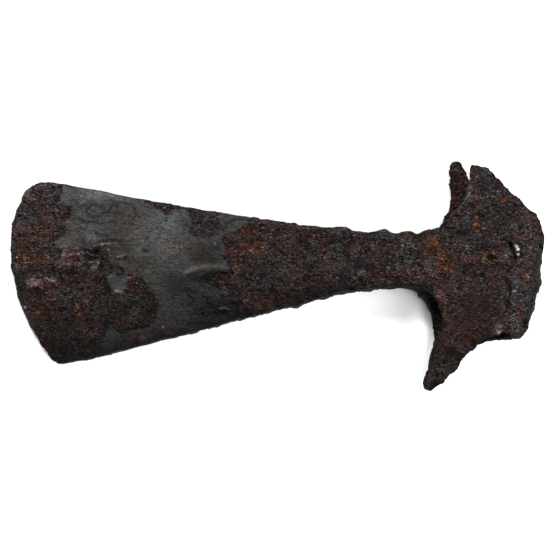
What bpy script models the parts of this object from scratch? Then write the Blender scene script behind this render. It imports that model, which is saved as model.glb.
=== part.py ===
"""A forged iron axe head of a medieval kind, corroded, lying on its side.

The blade flares from a narrow neck to a long convex cutting edge. Behind the neck the iron
wraps round the haft's eye. Its two cheeks carry four pointed lugs, above and below the eye.
The upper cheek's upper lug is broken short, and the poll is worn down slanting behind it.

Metres, +Z up. The head is drawn flat first, with X = Y = 0 on the haft's axis and Z = 0 on
its middle plane, and then laid down on its lower cheek and its cutting edge.
"""

import math

import bmesh
import bpy
from mathutils import Matrix, Vector, noise

# Blade and neck
EDGE_TO_HAFT = 0.1605
EDGE_SPAN = 0.0695
EDGE_BULGE = 0.0148
EDGE_SKEW = 0.20
EDGE_TURN = math.radians(15.2)
EDGE_DROP = 0.0208
EDGE_THICKNESS = 0.0026
UPPER_WAIST = 0.0024
LOWER_WAIST = 0.0027
NECK_HEIGHT = 0.0206
NECK_THICKNESS = 0.0165
NECK_RISE = 0.0023
NECK_TO_HAFT = 0.0270
BLADE_CROWN = 0.30

# Socket: the eye that holds the haft, and the iron round it
EYE_LENGTH = 0.0310
EYE_WIDTH = 0.0200
EYE_FLAT = 0.0110
CHEEK_WALL = 0.0037
POLL_WALL = 0.0075
POLL_HEIGHT = 0.0400
LUG_REACH = 0.0440
LUG_WALL = 0.0040

# Corroded surface, and how the head lies
EROSION = 0.00035
EROSION_SCALE = 0.0110
LYING_FLAT = 0.00035
EDGE_FLAT = 0.00012
HAFT_SEAT_INSET = 0.0080
HAFT_SEAT_CUT = 0.00030

# Fineness of the surface
VOXEL = 0.00095
SMOOTHING_PASSES = 6
KEPT_FACES = 8200

IRON_COLOUR = (0.060, 0.046, 0.042, 1.0)
IRON_ROUGHNESS = 0.72
IRON_METALLIC = 0.35

HALF_EYE = EYE_LENGTH / 2
HALF_SOCKET = EYE_WIDTH / 2 + CHEEK_WALL
POLL_X = HALF_EYE + POLL_WALL
HALF_POLL = POLL_HEIGHT / 2
SPARE = 0.02
CUT_OVERLAP = 0.0002

# The lugs' outlines as shares, X of half the eye's length. A fore edge runs from the neck's
# side (Y 0) to the full reach (Y 1), and a rear edge back from there to the poll's corner (Y 0)
WHOLE_UPPER_FORE = [
    (-1.14, 0.145), (-0.98, 0.285), (-0.905, 0.454), (-0.93, 0.636), (-1.02, 0.874),
    (-0.97, 0.965), (-0.84, 0.979),
]
WHOLE_UPPER_REAR = [
    (-0.72, 0.826), (-0.57, 0.725), (-0.41, 0.615), (-0.15, 0.514), (0.2, 0.386), (0.6, 0.267),
    (0.95, 0.184), (1.18, 0.083), (1.31, -0.027),
]
BROKEN_UPPER_FORE = [
    (-1.13, 0.089), (-0.88, 0.215), (-0.71, 0.383), (-0.62, 0.51), (-0.58, 0.65),
    (-0.59, 0.79), (-0.52, 0.867), (-0.37, 0.881),
]
BROKEN_UPPER_REAR = [
    (-0.22, 0.798), (-0.03, 0.725), (0.23, 0.615), (0.54, 0.45), (0.72, 0.377), (0.88, 0.303),
    (1.055, 0.248), (1.2, 0.12), (1.31, -0.008),
]
UPPER_CHEEK_LOWER_FORE = [
    (-1.24, 0.01), (-1.05, 0.071), (-0.85, 0.187), (-0.77, 0.309), (-0.755, 0.401),
    (-0.78, 0.493), (-0.855, 0.621), (-0.91, 0.792), (-0.965, 0.982), (-0.89, 1.024),
]
UPPER_CHEEK_LOWER_REAR = [
    (-0.75, 1.027), (-0.6, 0.908), (-0.43, 0.789), (-0.27, 0.643), (-0.12, 0.468),
    (0.03, 0.322), (0.21, 0.212), (0.38, 0.129), (0.555, 0.056), (0.76, 0.001), (1, 0.001),
]
LOWER_CHEEK_LOWER_FORE = [
    (-1.3, 0.047), (-1.18, 0.096), (-1.06, 0.163), (-0.965, 0.242), (-0.89, 0.328),
    (-0.825, 0.444), (-0.83, 0.542), (-0.87, 0.646), (-0.91, 0.792), (-0.94, 0.914),
    (-0.87, 0.957),
]
LOWER_CHEEK_LOWER_REAR = [
    (-0.74, 0.917), (-0.61, 0.826), (-0.445, 0.716), (-0.284, 0.578), (-0.13, 0.413),
    (0.03, 0.294), (0.21, 0.202), (0.38, 0.148), (0.555, 0.092), (0.76, 0.056), (1, 0.037),
]
CORE_UPPER_FORE = [(-1.14, 0.103), (-0.98, 0.215), (-0.8, 0.299)]
CORE_UPPER_REAR = [(1.18, 0.01)]
CORE_LOWER_FORE = [(-1.3, 0.041), (-1.12, 0.108), (-0.93, 0.218), (-0.6, 0.291)]
CORE_LOWER_REAR = [(1, 0)]


def spline_points(points, steps=5):
    """A smooth line through the points (Catmull-Rom)."""
    ends = [points[0], *points, points[-1]]
    line = []
    for before, start, end, after in zip(ends, ends[1:], ends[2:], ends[3:]):
        for step in range(steps):
            t = step / steps
            weights = (
                -0.5 * t + t * t - 0.5 * t**3,
                1 - 2.5 * t * t + 1.5 * t**3,
                0.5 * t + 2 * t * t - 1.5 * t**3,
                -0.5 * t * t + 0.5 * t**3,
            )
            near = (before, start, end, after)
            line.append(tuple(sum(w * p[i] for w, p in zip(weights, near)) for i in (0, 1)))
    return [*line, points[-1]]


def smoothstep(t):
    t = min(1.0, max(0.0, t))
    return t * t * (3 - 2 * t)


def lug_outline(fore, rear, side):
    """An upper (+1) or lower (-1) lug's outline, from the neck over the tip to the poll."""
    neck = abs(neck_side(side)[1])
    fore_edge = [(x * HALF_EYE, side * (neck + y * (LUG_REACH - neck))) for x, y in fore]
    rear_edge = [(x * HALF_EYE, side * (HALF_POLL + y * (LUG_REACH - HALF_POLL))) for x, y in rear]
    return [*fore_edge, *rear_edge]


def cutting_edge():
    """The convex edge from its lower corner to its upper one, fullest above its middle."""
    along = Vector((-math.sin(EDGE_TURN), math.cos(EDGE_TURN)))
    outward = Vector((-math.cos(EDGE_TURN), -math.sin(EDGE_TURN)))
    centre = Vector((-EDGE_TO_HAFT, -EDGE_DROP))
    count = 22
    edge = []
    for i in range(count + 1):
        share = -math.cos(math.pi * i / count)
        skewed = share - EDGE_SKEW * (1 - share**2)
        bulge = EDGE_BULGE * max(0.0, 1 - skewed**2) ** 0.6
        edge.append(tuple(centre + along * (share * EDGE_SPAN / 2) + outward * bulge))
    return edge


def neck_side(side):
    """Where the neck's upper (+1) or lower (-1) side meets the socket's curve."""
    return (-NECK_TO_HAFT, NECK_RISE + side * NECK_HEIGHT / 2)


def head_outline(upper_lug, lower_lug):
    """The whole head seen from its flat side, anticlockwise from the poll's lower corner."""
    poll = [
        (POLL_X * 0.83, -HALF_POLL),
        (POLL_X * 0.90, -HALF_POLL * 0.86),
        (POLL_X * 0.93, -HALF_POLL * 0.58),
        (POLL_X * 0.975, -HALF_POLL * 0.15),
        (POLL_X, HALF_POLL * 0.2),
        (POLL_X * 0.985, HALF_POLL * 0.62),
        (POLL_X * 0.95, HALF_POLL * 0.88),
    ]
    edge = cutting_edge()
    upper_side = blade_side(edge[-1], neck_side(1), UPPER_WAIST, 1.2)
    lower_side = blade_side(edge[0], neck_side(-1), -LOWER_WAIST, 3.3)
    over_top = spline_points([*poll, *reversed(upper_lug), *reversed(upper_side)])
    under = spline_points([*lower_side, *lower_lug, poll[0]])
    return [*over_top, *reversed(edge), *under[:-1]]


def blade_side(corner, neck, waist, skew):
    """The side from the cutting edge's corner to the neck, drawn in by the waist."""
    along = Vector(neck) - Vector(corner)
    across = Vector((-along.y, along.x)).normalized()
    side = []
    for share in (0.05, 0.2, 0.4, 0.6, 0.75, 0.85, 0.93, 1.0):
        bow = waist * math.sin(math.pi * share**skew)
        side.append(tuple(Vector(corner) + along * share - across * bow))
    return side


def eye_half_width(x):
    """Half the eye's inner width: flat sides, a round back and a narrower front."""
    beyond = abs(x) - EYE_FLAT / 2
    if beyond <= 0:
        return EYE_WIDTH / 2
    if abs(x) >= HALF_EYE:
        return 0.0
    run = HALF_EYE - EYE_FLAT / 2
    power = 2.3 if x > 0 else 1.6
    share = min(1.0, beyond / run)
    return EYE_WIDTH / 2 * (1 - share**power) ** (1 / power)


def head_half_thickness(x):
    """Half the head's outer thickness, from the cutting edge to the poll."""
    if x > EYE_FLAT / 2:
        share = min(1.0, (x - EYE_FLAT / 2) / (POLL_X - EYE_FLAT / 2))
        return HALF_SOCKET * (1 - share**2.5) ** (1 / 2.5)
    if x > -NECK_TO_HAFT:
        rise = smoothstep((x + NECK_TO_HAFT) / (NECK_TO_HAFT - EYE_FLAT / 2))
        return NECK_THICKNESS / 2 + (HALF_SOCKET - NECK_THICKNESS / 2) * rise
    edge_x = -EDGE_TO_HAFT - EDGE_BULGE
    share = max(0.0, (x - edge_x) / (-NECK_TO_HAFT - edge_x))
    return EDGE_THICKNESS / 2 + (NECK_THICKNESS - EDGE_THICKNESS) / 2 * share**0.8


def plan_outline(half_width, start, end, count=64):
    """A closed outline in X and thickness, with its points closer together at both ends."""
    xs = [start + (end - start) * (1 - math.cos(math.pi * i / count)) / 2 for i in range(count + 1)]
    over = [(x, half_width(x)) for x in xs]
    under = [(x, -half_width(x)) for x in reversed(xs)]
    points = [*over, *under]
    return [p for p, q in zip(points, points[1:] + points[:1]) if (Vector(p) - Vector(q)).length > 1e-6]


def prism(name, outline, half_depth, axis, collection):
    """A flat outline as a filled 2D curve, extruded both ways along Z or Y, made a mesh."""
    curve = bpy.data.curves.new(name, "CURVE")
    curve.dimensions = "2D"
    curve.fill_mode = "BOTH"
    curve.extrude = half_depth
    spline = curve.splines.new("POLY")
    spline.points.add(len(outline) - 1)
    for point, (x, y) in zip(spline.points, outline):
        point.co = (x, y, 0.0, 1.0)
    spline.use_cyclic_u = True
    drawn = bpy.data.objects.new(name + "_curve", curve)
    if axis == "Y":
        drawn.rotation_euler.x = math.pi / 2
    collection.objects.link(drawn)
    bpy.context.view_layer.update()
    solid = as_mesh(drawn, name, collection)
    bpy.data.objects.remove(drawn)
    bpy.data.curves.remove(curve)
    return solid


def as_mesh(source, name, collection):
    """The object as it evaluates, as a new closed mesh object in world space."""
    evaluated = source.evaluated_get(bpy.context.evaluated_depsgraph_get())
    mesh = bpy.data.meshes.new_from_object(evaluated)
    mesh.transform(source.matrix_world)
    shape = bmesh.new()
    shape.from_mesh(mesh)
    bmesh.ops.remove_doubles(shape, verts=shape.verts, dist=1e-7)
    bmesh.ops.recalc_face_normals(shape, faces=shape.faces)
    shape.to_mesh(mesh)
    shape.free()
    mesh.name = name
    made = bpy.data.objects.new(name, mesh)
    collection.objects.link(made)
    return made


def boolean(target, cutter, operation):
    modifier = target.modifiers.new(operation.lower() + "_" + cutter.name, "BOOLEAN")
    modifier.operation = operation
    modifier.object = cutter
    modifier.solver = "EXACT"


def hide_helper(helper):
    helper.hide_render = True
    helper.display_type = "WIRE"


def build_blank(helpers):
    """The head in its flat frame: both cheeks' outlines, cut to the plan and opened."""
    upper = head_outline(
        lug_outline(BROKEN_UPPER_FORE, BROKEN_UPPER_REAR, 1),
        lug_outline(UPPER_CHEEK_LOWER_FORE, UPPER_CHEEK_LOWER_REAR, -1),
    )
    lower = head_outline(
        lug_outline(WHOLE_UPPER_FORE, WHOLE_UPPER_REAR, 1),
        lug_outline(LOWER_CHEEK_LOWER_FORE, LOWER_CHEEK_LOWER_REAR, -1),
    )
    core = head_outline(
        lug_outline(CORE_UPPER_FORE, CORE_UPPER_REAR, 1),
        lug_outline(CORE_LOWER_FORE, CORE_LOWER_REAR, -1),
    )
    half_span = LUG_REACH + SPARE
    depth = HALF_SOCKET + SPARE

    blank = prism("upper_half", upper, depth / 2, "Z", helpers)
    blank.data.transform(Matrix.Translation((0, 0, depth / 2 - 1e-5)))
    lower_half = prism("lower_half", lower, depth / 2, "Z", helpers)
    lower_half.data.transform(Matrix.Translation((0, 0, 1e-5 - depth / 2)))
    edge_x = -EDGE_TO_HAFT - EDGE_BULGE - 0.001
    plan = plan_outline(head_half_thickness, edge_x, POLL_X)
    plan_solid = prism("plan", plan, EDGE_SPAN + half_span, "Y", helpers)
    eye = plan_outline(eye_half_width, -HALF_EYE, HALF_EYE)
    eye_cutter = prism("eye", eye, half_span, "Y", helpers)
    gap = plan_outline(lug_gap_half_width, -NECK_TO_HAFT, 0.0)
    gap_cutter = prism("lug_gap", gap, half_span, "Y", helpers)
    core_keeper = prism("core", core, depth + SPARE, "Z", helpers)

    boolean(gap_cutter, core_keeper, "DIFFERENCE")
    boolean(blank, lower_half, "UNION")
    boolean(blank, plan_solid, "INTERSECT")
    boolean(blank, gap_cutter, "DIFFERENCE")
    boolean(blank, eye_cutter, "DIFFERENCE")
    remesh = blank.modifiers.new("even_surface", "REMESH")
    remesh.mode = "VOXEL"
    remesh.voxel_size = VOXEL
    soften = blank.modifiers.new("worn_corners", "SMOOTH")
    soften.factor = 0.5
    soften.iterations = SMOOTHING_PASSES
    for helper in (lower_half, plan_solid, eye_cutter, gap_cutter, core_keeper, blank):
        hide_helper(helper)
    return blank


def lug_gap_half_width(x):
    """Half the open width between the lugs in front of the eye, inside their walls."""
    return max(eye_half_width(x) + CUT_OVERLAP, head_half_thickness(x) - LUG_WALL)


def side_height(x, side):
    """The height of the blade's upper (+1) or lower (-1) side at a distance from the haft."""
    corner = cutting_edge()[-1 if side > 0 else 0]
    neck = neck_side(side)
    share = min(1.0, max(0.0, (x - corner[0]) / (neck[0] - corner[0])))
    return corner[1] + (neck[1] - corner[1]) * share


def crown_and_erode(mesh):
    """Thins the blade and neck towards their two sides, and wears the whole surface."""
    normals = [v.normal.copy() for v in mesh.vertices]
    for vertex, normal in zip(mesh.vertices, normals):
        x, y, z = vertex.co
        if x < -HALF_EYE:
            top, bottom = side_height(x, 1), side_height(x, -1)
            off = min(1.0, abs(2 * (y - (top + bottom) / 2) / (top - bottom)))
            fade = smoothstep((-HALF_EYE - x) / (NECK_TO_HAFT - HALF_EYE))
            z *= 1 - BLADE_CROWN * fade * off**2.4
        point = Vector((x, y, z))
        wave = noise.fractal(point / EROSION_SCALE, 0.9, 2.1, 3, noise_basis="PERLIN_ORIGINAL")
        vertex.co = point + normal * (EROSION * wave)


def lay_down(mesh):
    """Tilts the head onto its lower cheek and its cutting edge. Returns the transform."""
    reach = EDGE_TO_HAFT + EDGE_BULGE
    tilt = math.asin((HALF_SOCKET - EDGE_THICKNESS / 2) / reach)
    points = [v.co.copy() for v in mesh.vertices]
    for _ in range(4):
        turn = Matrix.Rotation(-tilt, 4, "Y")
        turned = [turn @ p for p in points]
        edge_low = min(q.z for p, q in zip(points, turned) if p.x < -EDGE_TO_HAFT)
        cheek_low = min(q.z for p, q in zip(points, turned) if p.x > -HALF_EYE)
        tilt += ((edge_low + EDGE_FLAT) - (cheek_low + LYING_FLAT)) / reach
    lows = [min(q[i] for q in turned) for i in (0, 1)]
    highs = [max(q[i] for q in turned) for i in (0, 1)]
    centre = [(low + high) / 2 for low, high in zip(lows, highs)]
    floor = cheek_low + LYING_FLAT
    laid = Matrix.Translation((-centre[0], -centre[1], -floor)) @ turn
    mesh.transform(laid)
    return laid


def box(name, size, collection):
    shape = bmesh.new()
    bmesh.ops.create_cube(shape, size=1.0)
    bmesh.ops.scale(shape, vec=size, verts=shape.verts)
    mesh = bpy.data.meshes.new(name)
    shape.to_mesh(mesh)
    shape.free()
    made = bpy.data.objects.new(name, mesh)
    collection.objects.link(made)
    hide_helper(made)
    return made


def iron_material():
    material = bpy.data.materials.new("corroded_iron")
    material.use_nodes = True
    shader = material.node_tree.nodes["Principled BSDF"]
    shader.inputs["Base Color"].default_value = IRON_COLOUR
    shader.inputs["Roughness"].default_value = IRON_ROUGHNESS
    shader.inputs["Metallic"].default_value = IRON_METALLIC
    return material


def new_collection(name):
    made = bpy.data.collections.new(name)
    bpy.context.scene.collection.children.link(made)
    return made


def main():
    for existing in list(bpy.data.objects):
        bpy.data.objects.remove(existing)
    parts = new_collection("axe_head_parts")
    helpers = new_collection("cutters")

    blank = build_blank(helpers)
    worn = as_mesh(blank, "worn_head", helpers)
    crown_and_erode(worn.data)
    reduce = worn.modifiers.new("fewer_faces", "DECIMATE")
    reduce.ratio = KEPT_FACES / (2 * len(worn.data.polygons))
    bpy.context.view_layer.update()
    head = as_mesh(worn, "axe_head", parts)
    bpy.data.objects.remove(worn)
    laid = lay_down(head.data)

    floor_depth = 0.02
    floor = box("floor_cut", (0.4, 0.4, floor_depth), helpers)
    floor.location.z = -floor_depth / 2
    seat_width = EYE_WIDTH + 2 * HAFT_SEAT_CUT
    seat_height = POLL_HEIGHT - 2 * HAFT_SEAT_INSET
    seat = box("haft_seat_cut", (EYE_FLAT, seat_height, seat_width), helpers)
    seat.matrix_world = laid
    boolean(head, floor, "DIFFERENCE")
    boolean(head, seat, "DIFFERENCE")
    head.data.shade_smooth()
    head.data.set_sharp_from_angle(angle=math.radians(50))
    head.data.materials.append(iron_material())


main()
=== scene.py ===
"""The corroded iron axe head as it was found: rust crust, patina, pits, blisters and flakes.

The head's own solid is the frame. A finer mesh of the same form carries the relief, and the
colours follow masks that are worked out from it. Places on the head's upper side are given as
(u, v), a point of a 550 by 550 picture taken by the camera below, with v counted downwards.
"""

import math
from functools import reduce

import bmesh
import bpy
import numpy as np
from mathutils import Matrix, Vector
from mathutils.kdtree import KDTree


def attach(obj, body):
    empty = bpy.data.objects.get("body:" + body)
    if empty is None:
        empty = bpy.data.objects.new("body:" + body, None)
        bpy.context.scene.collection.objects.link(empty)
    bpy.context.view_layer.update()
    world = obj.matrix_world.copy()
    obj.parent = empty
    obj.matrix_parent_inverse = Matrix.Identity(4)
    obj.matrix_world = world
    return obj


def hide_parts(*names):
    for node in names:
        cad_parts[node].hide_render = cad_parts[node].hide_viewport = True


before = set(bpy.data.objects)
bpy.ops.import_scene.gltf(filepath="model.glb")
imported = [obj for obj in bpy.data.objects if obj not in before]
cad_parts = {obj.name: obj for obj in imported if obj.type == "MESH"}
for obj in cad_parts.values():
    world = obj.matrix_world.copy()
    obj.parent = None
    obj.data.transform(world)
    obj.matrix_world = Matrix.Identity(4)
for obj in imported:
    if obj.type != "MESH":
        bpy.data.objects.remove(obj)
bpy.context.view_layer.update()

MM = 0.001

# Camera
PICTURE = 550
AZIMUTH = math.radians(8.5)
ELEVATION = math.radians(86.0)
DISTANCE = 0.800
TARGET = Vector((0.00101, -0.00464, 0.0100))
PIXELS_PER_METRE = 2658.5
SENSOR = 36.0
NEAREST_SEEN = 0.05
FARTHEST_SEEN = 20.0

# Soft round lamps as name: (place, size, watts), each set lighting the head or the paper alone
HEAD_LAMPS = {
    "key": ((-0.58, 1.05, 1.00), 0.5, 42.0),
    "fill": ((1.08, -0.23, 0.99), 0.6, 17.0),
}
PAPER_LAMPS = {
    "paper_back": ((-0.35, 0.85, 1.05), 0.6, 22.0),
    "paper_side": ((0.85, -0.55, 1.00), 0.8, 26.0),
    "paper_top": ((0.1, 0.0, 1.4), 0.5, 4.0),
}
SKY_STRENGTH = 0.30
PAPER_HALF_SIZE = 3.0
PAPER_DROP = 0.2 * MM
PAPER_SHADE = 0.92
PAPER_ROUGHNESS = 0.9
PAPER_SPECULAR = 0.1

# Fineness of the relief mesh
VOXEL = 0.455 * MM
SMOOTHING_PASSES = 6
MOST_TRIANGLES = 196000
# Faces that look up less than this are the ones thinned out to keep to that number
PLAIN_SIDE_FACING = 0.12

# The head's middle plane, halfway between the cheeks, for telling the upper side from the lower
EYE_CENTRE = np.array((0.0764, 0.0054, 0.0139))
MIDDLE_NORMAL = np.array((-0.0709, 0.0, 0.9975))
SOCKET_START = 0.045

# The head's lamps are bright, so its colours are taken down by this share
EXPOSURE_SHARE = 0.515
DARKEST_POWER = -3.5
LIGHTEST_POWER = 1.5
SPECULAR_LEVEL = 0.08
CRUST_ROUGHNESS = 0.65
SKIN_ROUGHNESS = 0.55
SKIN_CALM = 0.70
SMOOTH_CRUST_CALM = 0.6

# Colours in the usual 0-255 display numbers
RED_CRUST = (83, 54, 48)
GREY_CRUST = (62, 60, 60)
COOL_CRUST = (58, 59, 62)
# Painted sheen on the lightest grain
CREST_SHEEN_GREY = (69, 63, 61)
WARM_TINT = (255, 202, 184)
GREY_SKIN = (70, 71, 70)
OLIVE_SKIN = (73, 70, 66)
COOL_SKIN = (72, 74, 77)
RED_SKIN = (80, 58, 52)
RUST_FLECK = (112, 66, 42)
RUST_HALO = (80, 47, 30)
DARK_ORANGE = (84, 48, 29)
LIGHT_ORANGE = (134, 88, 64)
DARK_OCHRE = (78, 55, 33)
LIGHT_OCHRE = (120, 90, 58)
PINK_CRUST = (108, 90, 87)
# Pale flakes, and painted glints
PALE_FLAKE_AND_GLINT = (205, 200, 194)

# How far each grain changes the crust's tone, and how far it lifts the shaded surface in mm
TONE_GAINS = {"fine": 5.4, "grain": 1.2, "flake": 0.7, "crumb": 0.6}
BORDER_GAINS = {"crack": 1.5, "gap": 1.3}
BUMP_GAINS = {"grain": 1.0, "fine": 1.1, "flake": 0.16, "crumb": 0.10, "crack": 0.10}

# Small round marks at random: how many, radii and rises in mm, flat share of the top, seed
CRUST_MARKS = [
    (2600, (0.5, 1.3), (-0.42, -0.12), 0.0, 101),
    (1500, (0.5, 1.2), (0.10, 0.34), 0.0, 111),
    (240, (1.4, 3.0), (0.15, 0.45), 0.5, 121),
    (160, (1.2, 2.6), (-0.55, -0.20), 0.4, 131),
]
SKIN_MARKS = [(220, (0.5, 1.2), (-0.16, 0.06), 0.0, 141)]

# How far drawn borders, colour spots and relief marks stray from their places, in pixels
BORDER_WOBBLE = 2.0
SPOT_WOBBLE = 1.3
MARK_WOBBLE = 0.9
FLAKE_WOBBLE = 0.5
# A soft mark has faded out where its squared distance, in half-widths, passes this
FADED_OUT = 6

# Smooth grey patina on the blade's upper side, as an outline of (u, v) places
PATINA_OUTLINE = [
    (62, 183), (62, 193), (58, 198), (60, 204), (65, 208), (72, 206), (70, 214), (65, 219),
    (60, 221), (61, 227), (65, 231), (63, 237), (56, 239), (53, 243), (59, 248), (71, 250),
    (80, 251), (86, 247), (96, 250), (104, 258), (112, 264), (122, 268), (134, 274), (142, 279),
    (149, 287), (155, 294), (158, 304), (157, 314), (152, 322), (146, 328), (136, 328), (128, 328),
    (120, 334), (112, 327), (107, 331), (103, 340), (100, 352), (110, 360), (160, 346), (215, 332),
    (232, 324), (236, 306), (232, 296), (226, 290), (210, 284), (196, 282), (202, 276), (214, 272),
    (230, 270), (228, 258), (227, 244), (222, 238), (232, 232), (244, 228), (255, 218), (246, 212),
    (222, 206), (150, 194),
]
# A thin flake with a scalloped border that stands on the rust
SCALLOPED_FLAKE = [
    (106, 281), (108, 276.5), (112, 274.5), (117, 276), (123, 275), (127, 279), (127, 285),
    (123, 291), (118, 294), (113, 293), (109, 288),
]
# Rust within the patina: how much of the skin is gone, and the outline
RUST_AREAS = [
    (0.85, [(145, 196), (150, 204), (158, 209), (167, 214), (173, 209), (188, 208), (188, 200)]),
    (0.58, [(187, 209), (192, 222), (190, 232), (198, 238), (214, 236), (222, 228), (220, 216),
          (214, 208)]),
    (0.7, [(67, 206), (71, 207), (71, 213), (69, 219)]),
]

# Soft marks listed by strength, each (u, v, half-width, half-height), or (u, v, radius) if round
# Where the skin is worn through in mottles
WORN = {
    0.45: [(200, 312, 18, 6), (190, 323, 14, 4), (104, 252, 10, 8)],
    0.4: [(214, 300, 14, 8), (232, 296, 8, 10)],
    0.35: [(228, 236, 7, 10), (226, 256, 5, 12)],
    0.3: [(122, 338, 14, 5), (134, 264, 5), (248, 222, 8, 5)],
    0.25: [(70, 249, 10, 3), (152, 255, 9, 3)],
    0.2: [(205, 252, 14, 6), (62, 226, 6, 10), (150, 318, 8), (140, 280, 12, 5)],
}
# Where the crust comes off in thin layers
FLAKING = {
    1.0: [(98, 250, 16, 12)],
    0.9: [(62, 268, 18, 10)],
    0.8: [(36, 284, 16, 10), (208, 290, 26, 10)],
    0.7: [(90, 236, 8, 6)],
    0.6: [(120, 262, 14, 10), (66, 246, 12, 8)],
    0.5: [(204, 222, 16, 12), (75, 308, 14, 8), (512, 290, 8, 22), (155, 255, 14, 5),
        (66, 212, 5, 8)],
    0.4: [(452, 352, 12, 6), (404, 246, 10, 6)],
    0.35: [(45, 330, 24, 20), (40, 240, 24, 26)],
}
# Parts of the crust with a calmer surface
SMOOTH_CRUST = {
    0.9: [(474, 308, 22, 24)],
    0.4: [(452, 262, 12, 10), (468, 240, 14, 9), (300, 236, 26, 9), (142, 308, 14, 18)],
    0.35: [(505, 222, 18, 16)],
    0.3: [(270, 270, 22, 8), (40, 225, 14, 12), (455, 345, 10, 14), (480, 198, 22, 20),
        (330, 266, 30, 14), (502, 300, 12, 16)],
    0.25: [(372, 256, 20, 12)],
}
# Painted shade: recesses where the side walls are close to black
PAINTED_RECESS_SHADE = {
    1.0: [(434, 312, 12, 28), (420, 292, 14, 9), (500, 340, 26, 6)],
    0.8: [(436, 345, 10, 26)],
    0.7: [(395, 288, 26, 5)],
    0.3: [(458, 196, 10, 22)],
}
# Colour spots
ORANGE = {
    1.0: [(73, 342, 2)],
    0.9: [(430, 240, 6, 5), (477, 198, 2.5, 2), (488, 196, 2), (476, 224, 2.2, 3),
        (528, 277, 1.6, 5), (262, 249, 4, 3), (345, 265, 1.2), (316, 282, 2), (78, 307, 3, 2),
        (24, 262, 3, 2)],
    0.8: [(477, 177, 2.5, 2), (476, 192, 2, 2.5), (502, 200, 4, 3), (476, 218, 2, 2.5),
        (484, 228, 2, 1.5), (243, 245, 4, 2), (241, 280, 2, 3), (291, 247, 1.6),
        (295, 277, 1.6, 2), (334, 280, 2.5, 2)],
    0.75: [(441, 255, 4, 5)],
    0.7: [(478, 231, 3, 1.5), (528, 220, 1.2, 2.5), (252, 251, 4, 3), (324, 254, 4, 2),
        (358, 244, 2), (293, 285, 2, 1.6), (86, 302, 3, 2), (48, 257, 3, 2), (509, 307, 1.2, 2)],
    0.6: [(437, 248, 4), (454, 176, 1.5, 2), (507, 226, 2), (236, 266, 4, 2), (286, 250, 2),
        (323, 247, 2, 1.5), (352, 256, 2.5, 4), (289, 260, 2), (369, 272, 3), (79, 313, 2, 3)],
    0.5: [(450, 270, 8), (486, 204, 3, 2), (493, 212, 2), (294, 239, 2), (332, 263, 2),
        (257, 307, 2, 3), (350, 246, 1.5, 5), (104, 308, 2), (22, 256, 4, 3), (48, 212, 4, 2),
        (487, 281, 2, 1.5), (480, 295, 2, 1.5), (446, 352, 3, 1.5), (457, 351, 2, 1.5),
        (419, 279, 2), (472, 311, 1.5)],
    0.4: [(469, 227, 2), (481, 236, 2, 3), (522, 225, 2), (371, 247, 2.5, 2), (353, 273, 2),
        (284, 299, 2), (40, 312, 7, 3), (25, 301, 2, 3), (116, 325, 3, 2), (37, 203, 3, 2),
        (453, 314, 3), (453, 325, 2, 3), (395, 265, 2), (488, 320, 1.5)],
    0.35: [(301, 264, 3, 4), (34, 262, 6, 4), (26, 245, 5, 4), (38, 228, 5, 3)],
    0.3: [(383, 258, 2), (235, 256, 8, 12), (252, 232, 9, 6)],
    0.28: [(26, 257, 14, 9), (432, 243, 10, 9)],
    0.25: [(40, 233, 16, 8), (160, 208, 14, 4)],
    0.24: [(84, 303, 16, 8)],
    0.22: [(34, 313, 12, 6), (54, 342, 16, 10), (445, 262, 10, 12), (480, 222, 8, 12)],
    0.2: [(503, 180, 1.5)],
    0.15: [(300, 250, 30, 14), (478, 335, 20, 8)],
    0.08: [(250, 246, 20, 16)],
}
OCHRE = {
    0.9: [(491, 254, 9, 3)],
    0.8: [(484, 260, 4), (492, 262, 8, 2.4)],
    0.6: [(490, 272, 5, 3)],
    0.5: [(506, 256, 2)],
    0.4: [(248, 253, 3, 2)],
    0.35: [(446, 268, 9, 8)],
    0.3: [(262, 252, 5, 3)],
}
RED = {
    1.8: [(142, 337, 8, 6)],
    1.6: [(171, 333, 7, 4)],
    0.9: [(458, 195, 8, 18)],
    0.8: [(446, 315, 4, 5), (73, 255, 6, 3)],
    0.6: [(166, 207, 13, 5), (114, 260, 12, 13), (200, 254, 11, 9), (62, 204, 3)],
    0.5: [(470, 260, 9), (156, 206, 10, 3), (68, 212, 3, 6), (78, 224, 4, 3), (146, 258, 9, 2),
        (116, 208, 7, 3), (105, 250, 10, 8), (235, 254, 8, 14), (260, 230, 14, 7),
        (196, 232, 6, 2), (262, 300, 34, 12), (466, 338, 22, 14), (405, 275, 30, 8)],
    0.45: [(122, 218, 15, 14)],
    0.4: [(408, 236, 9, 5), (134, 266, 4), (84, 304, 9, 6), (62, 187, 2, 3), (196, 210, 9, 3),
        (40, 312, 22, 26), (250, 236, 20, 16), (525, 325, 10, 12)],
    0.35: [(60, 192, 9, 6), (438, 352, 14, 22), (48, 345, 8, 6), (40, 262, 26, 34)],
    0.3: [(508, 210, 7, 10), (186, 238, 4, 9), (147, 310, 11, 16), (205, 318, 20, 5),
        (255, 305, 20, 6), (480, 295, 20, 10), (495, 325, 20, 12)],
    0.25: [(46, 260, 22, 14), (55, 225, 14, 9), (455, 335, 14), (60, 312, 26, 10)],
    0.2: [(34, 238, 12, 8), (480, 325, 20, 10), (385, 272, 12, 6)],
}
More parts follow.
